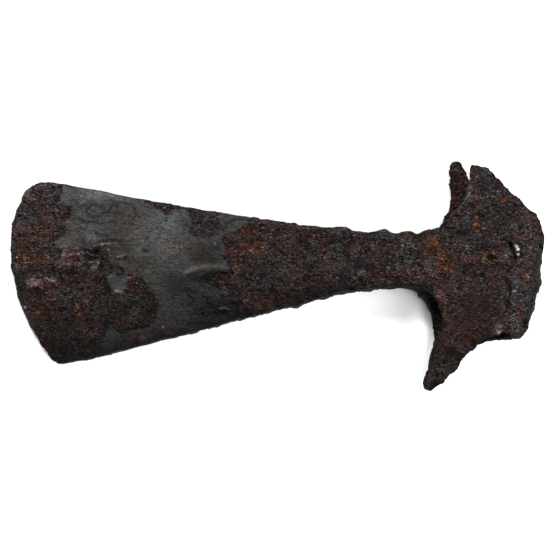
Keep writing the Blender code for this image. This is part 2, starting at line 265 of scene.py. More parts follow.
PINK = {
    0.95: [(499, 328, 5, 6)],
    0.65: [(34, 283, 10, 5), (52, 281, 7, 4)],
    0.5: [(68, 255, 7, 2.6), (77, 253, 3, 2), (66, 264, 7, 3), (114, 209, 6, 2),
        (104, 248, 4, 1.5), (93, 262, 8, 1.5), (96, 256, 6, 1.2)],
    0.4: [(74, 268, 6, 3), (120, 254, 6, 2), (62, 188, 3, 2)],
    0.35: [(208, 267, 12, 2.5)],
    0.3: [(283, 244, 4, 6)],
    0.25: [(152, 252, 10, 2), (470, 262, 6)],
    0.15: [(404, 247, 6, 5)],
    0.1: [(322, 236, 6, 3)],
}
# Pale flakes and specks, with painted glints on lit crests and rims
PALE_FLAKES_AND_GLINTS = {
    1.0: [(515.5, 246, 2.4, 2.2), (516.3, 248, 2.2, 2.4), (517.2, 250, 2.2, 3),
        (517.9, 252, 2.2, 2.6), (17, 257, 1.1), (25, 308, 1.1, 1.8), (163, 327, 1.2),
        (46, 293, 1.8, 1.4)],
    0.9: [(518.5, 254, 2, 3), (110.5, 274, 1.1)],
    0.8: [(228, 309.5, 1.2)],
    0.6: [(215, 244, 1.3, 2)],
    0.5: [(130, 277, 3, 1.2), (218, 311, 1.2, 1.6), (515, 291, 2, 1.2)],
    0.45: [(222, 308.3, 2, 0.8)],
    0.4: [(77.5, 253.5, 2.2, 1.8), (186, 222, 1.6), (271, 237, 1.5)],
    0.35: [(98.5, 262.5, 1.9, 1.3), (500, 331, 4, 1.8), (435, 381, 3, 2)],
    0.3: [(55, 283, 4, 1.2), (107, 243.5, 4, 0.9), (108, 249.5, 2.5, 0.9), (118, 291, 6, 1.8),
        (468, 213, 2, 2.5), (516, 224, 1.5, 2), (303, 235, 2, 1.5), (231, 217, 1.5, 2),
        (268, 235, 1.5)],
    0.25: [(84, 251.5, 2.2, 1.2), (93.5, 254, 4, 1.1), (91.5, 261, 2.2, 1.1), (93, 268, 2.2, 1.1),
        (120, 256, 3, 0.9), (124, 286, 1.8, 3), (219, 317, 1.5, 1), (420, 260, 3, 2.5),
        (306, 228, 5, 2), (271, 254, 3, 1.5)],
    0.2: [(63, 255, 7, 1.6), (50, 279, 5, 1.5), (195, 269, 3.5, 1.6), (64, 248, 6, 3)],
    0.18: [(29, 281, 4, 2.2), (37, 284.5, 5, 2.2)],
    0.15: [(60, 264.5, 4, 1.6), (497, 325, 2.5, 3), (455, 288, 6, 3)],
    0.12: [(188, 272, 3, 1.6), (202, 266.5, 3.5, 1.6), (286, 245, 2, 4)],
    0.05: [(404, 245, 2, 3)],
}
COOL = {
    1.0: [(95, 194, 42, 7), (226, 294, 10, 6)],
    0.9: [(463, 231, 11, 8), (512, 286, 8, 18), (452, 355, 10, 6), (72, 304, 8, 4)],
    0.8: [(485, 238, 14, 10), (364, 264, 13, 7), (204, 224, 14, 12)],
    0.7: [(66, 200, 6, 9), (93, 241, 8, 6), (494, 210, 14), (30, 206, 12, 14)],
    0.6: [(100, 211, 10, 7), (166, 222, 16, 8), (98, 228, 14, 6), (112, 335, 8), (528, 258, 8, 14),
        (20, 288, 8, 10)],
    0.5: [(116, 284, 10, 8), (228, 262, 5, 8), (488, 192, 14, 12), (346, 246, 16, 8),
        (404, 246, 14, 8)],
    0.45: [(465, 272, 9, 10)],
    0.4: [(299, 250, 11, 9), (140, 242, 18, 10), (60, 262, 14, 5), (478, 180, 10)],
    0.35: [(369, 251, 9, 7)],
    0.3: [(60, 263, 9, 6), (330, 290, 20, 8)],
    0.25: [(500, 212, 30, 32)],
}
# Lighter (+) and darker (-) zones: the iron's own tone, and painted light and shade on turning
# surfaces
TONES_AND_PAINTED_LIGHT = {
    0.9: [(142, 337, 8, 5)],
    0.75: [(522, 290, 14, 40)],
    0.6: [(60, 264, 7, 4), (494, 264, 8, 5)],
    0.5: [(88, 333, 8, 6), (105, 193, 36, 5), (466, 249, 6)],
    0.45: [(34, 283, 8, 4)],
    0.4: [(165, 220, 18, 12), (171, 333, 7, 4), (508, 276, 9, 7), (512, 318, 9, 16),
        (538, 250, 8, 40)],
    0.35: [(40, 196, 14, 12), (52, 280, 6, 4), (62, 214, 5, 12), (256, 221, 8, 4),
        (256, 303, 18, 8), (440, 297, 14, 10), (502, 333, 8, 4), (525, 235, 14, 20),
        (536, 235, 5, 8)],
    0.32: [(165, 243, 26, 20)],
    0.3: [(66, 250, 10, 5), (66, 255, 8, 3), (105, 196, 26, 5), (116, 335, 9, 6), (117, 290, 8, 4),
        (203, 226, 9), (405, 272, 20, 8), (430, 290, 26, 10), (438, 235, 5), (452, 190, 5, 14),
        (452, 210, 6, 8), (455, 214, 9, 10), (480, 235, 6, 5), (487, 197, 14, 10),
        (500, 335, 9, 3), (508, 298, 6, 10), (520, 318, 12, 16)],
    0.25: [(64, 264, 7, 3), (88, 330, 5, 6), (92, 250, 10, 8), (102, 207, 5), (150, 205, 14, 8),
        (186, 319, 8, 5), (200, 319, 9, 4), (376, 249, 8, 6), (396, 234, 7, 4), (415, 250, 18, 14),
        (425, 265, 26, 14), (466, 249, 6, 5), (498, 333, 10, 4)],
    0.2: [(18, 228, 7, 10), (46, 236, 7, 5), (50, 258, 16), (78, 262, 26, 10), (88, 248, 5),
        (88, 332, 6), (150, 291, 4, 6), (202, 222, 6), (252, 306, 14, 6), (256, 305, 8, 6),
        (292, 268, 14, 16), (354, 278, 7, 5), (382, 281, 14, 4), (416, 279, 12, 5),
        (432, 236, 9, 5), (438, 234, 6, 5), (438, 277, 6), (446, 280, 12, 14), (452, 222, 5),
        (468, 342, 8), (508, 236, 6, 5), (508, 247, 5, 6), (508, 249, 6), (508, 291, 6),
        (510, 333, 9, 4)],
    0.18: [(258, 292, 18, 6)],
    0.15: [(18, 235, 7, 6), (28, 226, 18, 12), (46, 278, 5, 3), (92, 237, 9, 5),
        (145, 235, 20, 14), (224, 290, 8, 4), (312, 235, 20, 5)],
    0.12: [(140, 206, 18, 4), (284, 290, 18, 6), (326, 266, 26, 12), (450, 285, 12, 6)],
    0.1: [(24, 193, 9, 7)],
    0.08: [(80, 197, 30, 8), (165, 236, 10, 22)],
    0.07: [(438, 352, 14, 22), (492, 210, 34)],
    0.05: [(90, 215, 25, 12), (240, 222, 14, 6), (452, 245, 10, 8)],
    0.02: [(505, 215, 30, 20)],
    -0.05: [(395, 255, 20, 14)],
    -0.1: [(112, 281, 8, 6), (122, 222, 14, 16), (165, 318, 28, 14), (214, 319, 6, 5),
        (508, 222, 6)],
    -0.12: [(74, 194, 18, 5), (95, 310, 30, 18), (116, 222, 18, 8), (145, 264, 18, 5),
        (284, 270, 9)],
    -0.15: [(26, 250, 10, 8), (60, 238, 6, 5), (64, 320, 24, 6), (95, 286, 30, 8), (172, 291, 8),
        (186, 222, 6), (200, 304, 20, 10), (300, 263, 16, 8), (466, 194, 4, 7), (495, 264, 12, 7)],
    -0.18: [(203, 224, 16, 12)],
    -0.2: [(60, 316, 9, 6), (112, 256, 16, 8), (120, 277, 5, 3), (125, 249, 10, 6),
        (130, 235, 8, 6), (130, 242, 10, 9), (138, 262, 10, 6), (142, 333, 8, 4),
        (170, 277, 16, 6), (172, 284, 14, 10), (172, 331, 9, 5), (186, 222, 5, 6),
        (200, 262, 12, 4), (206, 262, 24, 4), (214, 242, 8, 10), (214, 249, 7, 6),
        (242, 221, 6, 4), (262, 291, 12, 6), (304, 236, 10, 5), (312, 291, 8, 5),
        (312, 291, 10, 6), (354, 249, 7, 6), (382, 235, 6, 5), (382, 240, 5), (382, 264, 5),
        (382, 277, 6, 5), (452, 264, 6), (465, 233, 10, 6), (466, 270, 7, 9), (478, 322, 26, 14),
        (480, 277, 7, 6), (482, 186, 12, 9), (486, 306, 14, 6), (505, 203, 12, 10),
        (508, 236, 8, 6), (514, 251, 3, 6)],
    -0.22: [(70, 340, 26, 16)],
    -0.25: [(114, 305, 13, 7), (118, 277, 5, 4), (120, 340, 20, 8), (132, 307, 10, 8),
        (175, 292, 26, 12), (177, 207, 8, 4), (205, 252, 18, 14), (225, 311, 14, 9),
        (228, 235, 8, 16), (326, 236, 8, 6), (440, 290, 6, 14), (478, 297, 22, 4),
        (492, 248, 9, 4), (522, 284, 7, 12)],
    -0.28: [(160, 206, 14, 5), (326, 270, 8)],
    -0.3: [(18, 250, 8), (22, 282, 12, 14), (35, 294, 10, 4), (50, 320, 28, 5), (90, 336, 50, 17),
        (116, 249, 13, 8), (170, 334, 9, 4), (172, 284, 12, 10), (176, 332, 8, 4),
        (205, 258, 14, 5), (214, 249, 8, 6), (214, 262, 10, 4), (262, 270, 22, 9),
        (333, 236, 10, 5), (347, 262, 12, 6), (350, 293, 12, 4), (355, 264, 8, 6),
        (382, 234, 6, 5), (438, 249, 6), (450, 356, 12, 5), (452, 348, 6, 5), (480, 249, 7, 5),
        (484, 255, 10, 7), (488, 308, 20, 8)],
    -0.35: [(32, 277, 8, 4), (95, 276, 26, 6), (112, 316, 12, 10), (142, 300, 15, 24),
        (176, 331, 9, 4), (224, 320, 9, 5), (228, 321, 6, 4), (228, 321, 8, 5), (352, 291, 9, 5),
        (428, 240, 12), (430, 249, 10, 6), (440, 284, 10), (440, 342, 8, 24), (508, 221, 5),
        (522, 298, 8, 22)],
    -0.4: [(222, 320, 12, 5), (346, 292, 14, 5)],
    -0.45: [(158, 336, 16, 7), (200, 256, 10, 7), (225, 313, 9, 6), (335, 292, 22, 6),
        (346, 290, 14, 8)],
    -0.5: [(34, 271, 14, 4), (227, 318, 10, 6)],
    -0.55: [(185, 283, 12, 9), (210, 275, 20, 3)],
    -0.6: [(18, 286, 9, 12)],
    -0.75: [(205, 302, 28, 16)],
    -1.1: [(220, 319, 18, 8)],
}
# Raised and sunken marks, with the rise in mm as their strength
DOMES = {
    0.8: [(34, 283, 10, 6), (444, 219, 3, 4)],
    0.7: [(142, 338, 7, 5), (446, 315, 4, 5), (385, 231, 6, 4)],
    0.6: [(541, 281, 3, 4), (52, 281, 6, 3)],
    0.5: [(170, 334, 6, 4), (72, 255, 6, 4), (408, 232, 6, 3), (340, 228, 12, 3),
        (404, 245, 3, 4)],
    0.4: [(66, 246, 9, 5), (66, 263, 5, 4), (186, 222, 2), (215, 244, 2, 3), (498, 328, 5, 6),
        (516, 285, 5, 6), (88, 233, 5, 4), (104, 240, 4, 2), (109, 246, 4, 2)],
    0.3: [(454, 241, 8, 5)],
    0.2: [(160, 330, 3, 2)],
    0.15: [(95, 211, 9, 6)],
}
HOLLOWS = {
    0.9: [(224, 314, 5, 4), (492, 258, 6, 1.5)],
    0.8: [(361, 281, 3), (512, 292, 2, 6)],
    0.7: [(500, 266, 5, 4)],
    0.6: [(506, 302, 2, 5)],
    0.5: [(88, 246, 5, 3), (62, 273, 14, 6), (36, 294, 8, 4), (310, 245, 2), (488, 334, 4)],
    0.4: [(96, 253, 13, 7), (144, 251, 3, 2), (452, 353, 8, 3), (196, 283, 8, 3), (463, 233, 5, 3),
        (71, 213, 3, 6)],
    0.3: [(200, 256, 8, 5), (471, 206, 4, 2)],
}

# Ridges and grooves along lines: points, half-width in pixels, rise or depth in mm
RIDGES = [
    ([(184, 276), (192, 270), (200, 266), (210, 266), (220, 268)], 3.4, 0.5),
    ([(127, 279), (133, 275)], 1.3, 0.4), ([(113, 293), (120, 293), (126, 287)], 1.4, 0.4),
    ([(216, 311), (220, 308), (227, 309)], 1.3, 0.6),
    ([(482, 260), (486, 255), (492, 253), (498, 256), (500, 261)], 1.5, 0.5),
]
GROOVES = [
    ([(190, 281), (198, 278), (208, 275), (219, 273), (229, 273)], 3.0, 0.4),
    ([(86, 211), (90, 206), (96, 204), (102, 207), (105, 212), (101, 216), (93, 218), (87, 215),
      (86, 211)], 0.8, 0.25),
    ([(108, 213), (112, 206), (122, 202), (131, 205), (137, 214)], 0.8, 0.25),
    ([(511, 243), (514, 249), (516, 258)], 1.3, 2.2),
    ([(350, 231), (352, 240), (349, 248)], 1.0, 0.3),
    ([(62, 186), (62, 193), (58, 200), (62, 206), (65, 212), (62, 219), (64, 226), (70, 232)],
      0.9, 0.1),
    ([(222, 232), (226, 224), (236, 220), (250, 220)], 0.9, 0.35),
    ([(190, 212), (192, 224), (190, 233), (198, 239), (214, 237), (221, 230)], 0.9, 0.1),
    ([(149, 203), (156, 208), (165, 213), (173, 210)], 1.0, 0.2),
    ([(131, 276), (140, 279), (150, 289), (157, 302), (156, 316), (148, 326), (134, 327)],
      0.8, 0.15),
    ([(108, 283), (110, 289), (116, 294), (122, 290), (126, 284)], 0.8, 0.35),
    ([(74, 218), (84, 222), (98, 222)], 0.7, 0.2),
    ([(106, 236), (112, 240), (122, 242)], 0.8, 0.3),
    ([(187, 294), (193, 300), (190, 306)], 1.0, 0.4),
    ([(84, 248), (92, 252), (98, 251)], 1.2, 0.4), ([(103, 240), (108, 242)], 0.8, 0.3),
    ([(136, 344), (139, 335), (146, 334), (149, 341)], 0.8, 0.3),
    ([(506, 276), (511, 284), (510, 296), (507, 308)], 1.0, 0.6),
]
# Bands along lines: painted highlights (+), painted shade and dark cracks (-); points, half-width,
# strength
HIGHLIGHT_AND_DARK_LINES = [
    ([(470, 171), (469, 190), (466, 199), (460, 207), (451, 216)], 1.7, 1.3),
    ([(102, 244), (107, 243)], 1.2, 1.4), ([(104, 247), (110, 244)], 1.2, 1.2),
    ([(107, 250), (109, 249)], 1.2, 1.0), ([(105, 256), (108, 253)], 1.2, 0.9),
    ([(103, 241), (108, 241)], 1.1, -1.0), ([(103, 245.6), (108, 245.4)], 1.0, -1.0),
    ([(117, 246), (121, 249)], 1.1, 0.9), ([(118, 257), (124, 255)], 1.2, 1.4),
    ([(119, 259.5), (126, 258)], 1.2, -1.2), ([(126, 239), (133, 236)], 1.0, 0.8),
    ([(86, 232), (88, 238)], 1.4, 0.6), ([(93, 235), (95, 243)], 2.6, 0.5),
    ([(84, 242), (84, 249)], 2.4, -0.7), ([(90, 246), (98, 246)], 3.2, -0.4),
    ([(86, 250), (92, 253), (98, 252)], 1.6, -1.0), ([(85, 256), (91, 257), (97, 258)], 1.3, -2.2),
    ([(88, 265), (89, 267)], 1.6, -2.0), ([(101, 263), (102, 266)], 1.5, -2.0),
    ([(99, 268), (101, 269)], 1.4, -1.5), ([(78, 258), (79, 261)], 1.4, -1.5),
    ([(83, 252), (86, 251)], 1.6, 1.2), ([(90, 254), (97, 255)], 1.3, 1.2),
    ([(90, 261), (93, 261)], 1.5, 1.4), ([(98, 262), (100, 263)], 1.6, 1.7),
    ([(92, 268), (95, 268)], 1.7, 1.4), ([(78, 253), (79, 254)], 1.4, 1.8),
    ([(109, 289), (114, 293.5), (120, 293), (125, 288)], 1.6, 1.0),
    ([(108, 277), (112, 275)], 1.3, 0.8), ([(105, 279), (105.5, 286), (109, 292)], 1.4, -1.2),
    ([(127, 280), (135, 276)], 1.4, 1.5), ([(61, 188), (68, 190)], 1.6, 0.5),
    ([(66, 209), (71, 208), (70, 215)], 1.0, 0.5), ([(67, 213), (70, 219)], 1.3, -0.7),
    ([(80, 204), (85, 201)], 0.9, 0.6), ([(74, 219), (84, 222), (98, 223), (110, 222)], 0.8, -0.4),
    ([(115, 212), (122, 213)], 1.0, -0.6), ([(139, 230), (142, 229)], 1.4, 0.4),
    ([(142, 251), (146, 252)], 1.2, -0.9), ([(187, 222), (187, 226)], 1.0, -0.7),
    ([(168, 214), (174, 213)], 1.1, -0.7), ([(184, 273.5), (192, 269.5), (205, 265)], 2.2, 0.7),
    ([(206, 264.5), (222, 267)], 1.8, 0.4), ([(188, 277), (200, 271.5), (226, 272)], 1.6, -0.6),
    ([(218, 313), (219, 309.5), (223, 307.7), (228, 309)], 1.1, 1.6),
    ([(219, 314), (224, 317)], 1.5, -1.0), ([(222, 311), (227, 312)], 1.4, -0.6),
    ([(231, 303), (236, 308), (238, 312)], 2.4, -0.9),
    ([(188, 292), (190, 296), (188, 300)], 1.0, -0.9), ([(192, 288), (196, 290)], 1.0, 0.6),
    ([(186, 288), (191, 289)], 1.0, -0.6), ([(224, 290), (231, 294)], 1.6, 0.5),
    ([(120, 329), (132, 329), (137, 332)], 1.1, -0.5),
    ([(137, 343), (137, 337), (141, 334)], 1.2, -0.8),
    ([(164, 333), (168, 330), (175, 331)], 1.0, -0.6), ([(141, 336), (147, 337)], 2.0, 0.5),
    ([(168, 333), (173, 333)], 1.6, 0.5), ([(45, 272), (60, 270), (76, 275)], 3.0, -0.5),
    ([(28, 290), (42, 293)], 2.6, -0.6), ([(60, 280), (60, 274)], 1.5, -0.7),
    ([(26, 281), (34, 279), (42, 281)], 1.8, 0.35), ([(30, 285), (38, 286)], 2.2, 0.3),
    ([(46, 279), (57, 278)], 1.8, 0.5), ([(50, 284), (55, 282)], 1.6, 0.3),
    ([(58, 254), (72, 255)], 1.6, 0.5), ([(58, 265), (70, 264)], 2.4, 0.35),
    ([(355, 268), (372, 266)], 2.4, -0.8), ([(205, 326), (240, 318), (262, 312)], 4, -0.5),
    ([(284, 247), (289, 249)], 1.2, -0.9), ([(297, 242), (303, 244)], 1.3, -0.9),
    ([(330, 239), (336, 242)], 1.3, -0.8), ([(352, 236), (356, 240)], 1.3, -0.8),
    ([(366, 246), (370, 250)], 1.2, -0.8), ([(318, 262), (325, 264)], 1.4, -0.8),
    ([(340, 272), (347, 275)], 1.6, -0.8), ([(385, 262), (391, 264)], 1.3, -0.7),
    ([(296, 270), (302, 273)], 1.5, -0.8), ([(310, 286), (317, 288)], 1.4, -0.7),
    ([(272, 262), (279, 264)], 1.4, -0.7), ([(458, 232), (468, 234)], 2.0, -0.8),
    ([(478, 212), (486, 213)], 1.4, -0.7), ([(492, 222), (499, 226)], 1.5, -0.7),
    ([(470, 243), (477, 247)], 1.4, -0.7), ([(446, 352), (458, 354)], 2.4, -0.8),
    ([(462, 300), (470, 302)], 1.4, -0.6), ([(476, 342), (483, 338)], 1.2, -0.6),
    ([(482, 186), (488, 189)], 1.4, -0.6), ([(506, 282), (511, 286)], 1.6, -0.9),
    ([(513, 293), (517, 288)], 1.2, 0.7), ([(505, 298), (509, 306)], 1.6, -0.9),
    ([(524, 262), (527, 270)], 1.4, -0.6), ([(359, 279), (363, 282)], 2.0, -1.4),
    ([(320, 243), (326, 246)], 1.8, -0.8), ([(344, 232), (348, 244)], 2.0, -0.5),
    ([(366, 238), (376, 241)], 1.5, -0.7), ([(306, 244), (311, 246)], 1.5, -1.0),
    ([(400, 243), (406, 246)], 2.0, 0.6), ([(373, 249), (377, 251)], 2.2, 0.4),
    ([(512, 319), (515, 326), (514, 333)], 1.5, 0.4), ([(30, 188), (46, 185), (60, 188)], 6, 0.35),
]
# Painted shade: dark bands along the lower borders, where the surface turns down, that fade out more
# slowly
PAINTED_BORDER_SHADE = [
    ([(46, 352), (60, 361), (105, 353), (160, 340), (240, 319), (300, 306)], 18, -1.45),
    ([(424, 384), (434, 389), (450, 372), (472, 349), (486, 341)], 9, -0.6),
]

# Small pulls of the outline in pixels, as (u, v, du, dv, reach), on both cheeks or on one
PULLS = [
    (11, 247, -2, 0, 9), (10, 236, -4, 0, 9), (13, 225, -4, -1, 8), (17, 214, -3, -1, 7),
    (23, 200, 1, 0.8, 5), (56, 184, 0, -1.2, 10), (74, 187, 0, -1.0, 12), (98, 191, 0, -1.2, 12),
    (60, 361, 0, 2.5, 10), (77, 359, 0, 2.4, 10), (94, 357, 0, 4, 9), (108, 353, 0, 2.6, 10),
    (127, 349, 0, 2, 10), (148, 343, 0, 1.8, 10), (237, 320, 0, -1.2, 12), (297, 307, 0, 1.8, 7),
    (275, 310, 0, -1.2, 8), (345, 293, 0, -1.2, 8), (168, 204, 0, -1.4, 12), (237, 216, 0, 1, 12),
    (297, 225, 0, 1.8, 10), (318, 227, 0, 1.4, 10), (332, 227, 0, 2, 8), (345, 227, 0, -1, 4),
    (356, 231, 0, 2, 6), (368, 232, 0, 2.3, 8), (385, 230, 0, -1.2, 5), (410, 231, 0, -2.2, 5),
    (394, 233, 0, 1.3, 5), (418, 234, 0, 1, 4), (426, 231, 0, -1.3, 5), (442, 223, -1, -1.3, 5),
    (521, 202, 1.8, -1.9, 9), (536, 217, 2.2, -1.6, 9), (542, 231, 1.7, -0.3, 8),
    (541, 268, -1.3, 0, 9), (413, 290, 0, -1.6, 7),
]
NEAR_PULLS = [
    (471, 166, -1.4, -2, 6), (488, 171, 1.6, -2.6, 7), (497, 179, 1.6, -2, 7),
    (474, 348, 1.5, 2.2, 7), (466, 354, 2, 2.4, 8), (455, 366, 1.7, 1.9, 9),
    (440, 383, 1.7, 1.9, 8), (439, 312, 2.6, -0.6, 10), (440, 328, 2.2, 0, 9),
    (434, 298, 1.8, -1.8, 8), (425, 289, 0.6, -1.8, 7),
]
FAR_PULLS = [
    (451, 200, -2.3, 0, 8), (450, 186, -2.6, 0, 8), (450, 172, -2.6, 0, 8),
    (453, 161, -2, -2.3, 6), (460, 163, 1.6, -1.6, 5), (463, 173, 1.8, -0.5, 6),
    (445, 216, -2.6, -1.6, 4), (433, 325, -2.2, 0, 10), (430, 309, -1.6, 0.5, 7),
    (433, 344, -1.6, 0, 7),
]


def smoothstep(low, high, x):
    t = np.clip((x - low) / (high - low), 0.0, 1.0)
    return t * t * (3 - 2 * t)


def gradient_noise(points, scale, seed):
    """Smooth noise, about -1 to 1, over points in metres with features about one scale wide."""
    rng = np.random.default_rng(seed)
    order = rng.permutation(256)
    slopes = rng.normal(size=(256, 3))
    slopes /= np.linalg.norm(slopes, axis=1)[:, None]
    place = points / scale
    cell = np.floor(place).astype(np.int64)
    inside = place - cell
    ease = inside**3 * (inside * (inside * 6 - 15) + 10)
    total = np.zeros(len(points))
    for corner in np.ndindex(2, 2, 2):
        at = (cell + corner) & 255
        pick = order[(order[(order[at[:, 0]] + at[:, 1]) & 255] + at[:, 2]) & 255]
        weight = np.prod(np.where(corner, ease, 1 - ease), axis=1)
        total += weight * np.einsum("ij,ij->i", slopes[pick], inside - corner)
    return total * 1.6


def layered_noise(points, scale_mm, layers, seed):
    """Noise in layers, each about half as wide and half as strong as the one before."""
    total, size = np.zeros(len(points)), 1.0
    for layer in range(layers):
        total += size * gradient_noise(points, scale_mm * MM / 2.05**layer, seed + layer)
        size /= 2
    return total


def camera_axes():
    flat = math.cos(ELEVATION)
    back = Vector((math.sin(AZIMUTH) * flat, -math.cos(AZIMUTH) * flat, math.sin(ELEVATION)))
    right = Vector((math.cos(AZIMUTH), math.sin(AZIMUTH), 0.0))
    return right, back.cross(right), back


def picture_places(points):
    """Each point's (u, v) in the picture."""
    right, up, back = (np.array(axis) for axis in camera_axes())
    from_eye = points - (np.array(TARGET) + back * DISTANCE)
    focal = PIXELS_PER_METRE * DISTANCE
    depth = -(from_eye @ back)
    u = PICTURE / 2 + focal * (from_eye @ right) / depth
    v = PICTURE / 2 - focal * (from_eye @ up) / depth
    return np.stack([u, v], 1)


def distance_to_run(places, start, run):
    """Distance in pixels from each place to the straight run from start."""
    t = np.clip((places - start) @ run / (run @ run), 0, 1)
    return np.linalg.norm(places - start - t[:, None] * run, axis=1)


def depth_inside(places, outline):
    """How far each place lies inside the outline, in pixels; negative outside."""
    corners = np.array(outline, float)
    nearest = np.full(len(places), 1e9)
    inside = np.zeros(len(places), bool)
    for start, end in zip(corners, np.roll(corners, -1, 0)):
        run = end - start
        nearest = np.minimum(nearest, distance_to_run(places, start, run))
        spans = (start[1] > places[:, 1]) != (end[1] > places[:, 1])
        rise = run[1] if run[1] else 1e-9
        crossing = start[0] + (places[:, 1] - start[1]) * run[0] / rise
        inside ^= spans & (places[:, 0] < crossing)
    return np.where(inside, nearest, -nearest)


def distance_to_line(places, line):
    """Distance in pixels from each place to an open line of points."""
    nearest = np.full(len(places), 1e9)
    corners = np.array(line, float)
    for start, end in zip(corners, corners[1:]):
        nearest = np.minimum(nearest, distance_to_run(places, start, end - start))
    return nearest


def spots(places, groups, sharpness=2.0):
    """The sum of soft round and oval marks, listed by strength."""
    total = np.zeros(len(places))
    for strength, marks in groups.items():
        for u, v, *halves in marks:
            off = ((places[:, 0] - u) / halves[0]) ** 2 + ((places[:, 1] - v) / halves[-1]) ** 2
            near = off < FADED_OUT
            total[near] += strength * np.exp(-(off[near] ** (sharpness / 2)))
    return total


def bands(places, marks, sharpness=2):
    """The sum of soft bands along lines, each (line, half-width, strength)."""
    total = np.zeros(len(places))
    for line, half_width, strength in marks:
        share = distance_to_line(places, line) / half_width
        total += strength * np.exp(-(share**sharpness))
    return total


def pulled(places, marks, weight):
    """The shift in metres that a list of outline pulls gives each place's point."""
    total, shift = np.zeros(len(places)), np.zeros((len(places), 2))
    for u, v, du, dv, reach in marks:
        off = ((places - (u, v)) ** 2).sum(1) / reach**2
        near = off < FADED_OUT
        share = np.exp(-off[near])
        total[near] += share
        shift[near] += share[:, None] * (du, dv)
    shift *= (weight / np.maximum(total, 1))[:, None] / PIXELS_PER_METRE
    right, up, _ = camera_axes()
    return shift[:, :1] * np.array(right) - shift[:, 1:] * np.array(up)


def trimmed(points):
    """The points with the outline's small pulls added."""
    places = picture_places(points)
    near = smoothstep(-1.5, 1.5, ((points - EYE_CENTRE) @ MIDDLE_NORMAL) / MM)
    moved = points + pulled(places, PULLS, 1.0)
    moved += pulled(places, NEAR_PULLS, near)
    moved += pulled(places, FAR_PULLS, 1 - near)
    return moved


def apply_modifiers(piece):
    evaluated = piece.evaluated_get(bpy.context.evaluated_depsgraph_get())
    mesh = bpy.data.meshes.new_from_object(evaluated)
    piece.modifiers.clear()
    piece.data = mesh


def dense_copy(node):
    """The node's form as an even, fine and smooth mesh in a new object."""
    mesh = node.data.copy()
    shape = bmesh.new()
    shape.from_mesh(mesh)
    bmesh.ops.remove_doubles(shape, verts=shape.verts, dist=1e-6)
    shape.to_mesh(mesh)
    shape.free()
    piece = bpy.data.objects.new("axe_head_surface", mesh)
    bpy.context.scene.collection.objects.link(piece)
    remesh = piece.modifiers.new("even_surface", "REMESH")
    remesh.mode = "VOXEL"
    remesh.voxel_size = VOXEL
    soften = piece.modifiers.new("soft_corners", "SMOOTH")
    soften.factor = 0.5
    soften.iterations = SMOOTHING_PASSES
    apply_modifiers(piece)
    return piece


def vertex_vectors(values, key):
    """One vector for each item of a mesh's vertices or vertex normals."""
    flat = np.empty(len(values) * 3, np.float32)
    values.foreach_get(key, flat)
    return flat.reshape(-1, 3).astype(float)


def scattered_marks(points, where, count, radii, rises, flat_top, seed):
    """Rise in mm from many small round marks, set at random over the points where it may be."""
    rng = np.random.default_rng(seed)
    tree = KDTree(len(points))
    for i, point in enumerate(points):
        tree.insert(point, i)
    tree.balance()
    allowed = np.flatnonzero(where)
    total = np.zeros(len(points))
    for centre in rng.choice(allowed, count):
        radius = rng.uniform(*radii) * MM
        rise = rng.uniform(*rises)
        stretch = rng.uniform(0.6, 1.0)
        turn = rng.uniform(0, math.pi)
        axis = np.array((math.cos(turn), math.sin(turn), 0))
        found = tree.find_range(points[centre], radius / stretch)
        index = np.array([f[1] for f in found])
        off = points[index] - points[centre]
        along = off @ axis
        span = np.sqrt(np.maximum((off * off).sum(1) + along**2 * (stretch**2 - 1), 0)) / radius
        total[index] += rise * smoothstep(0, 1 - flat_top, np.clip(1 - span, 0, 1))
    return total


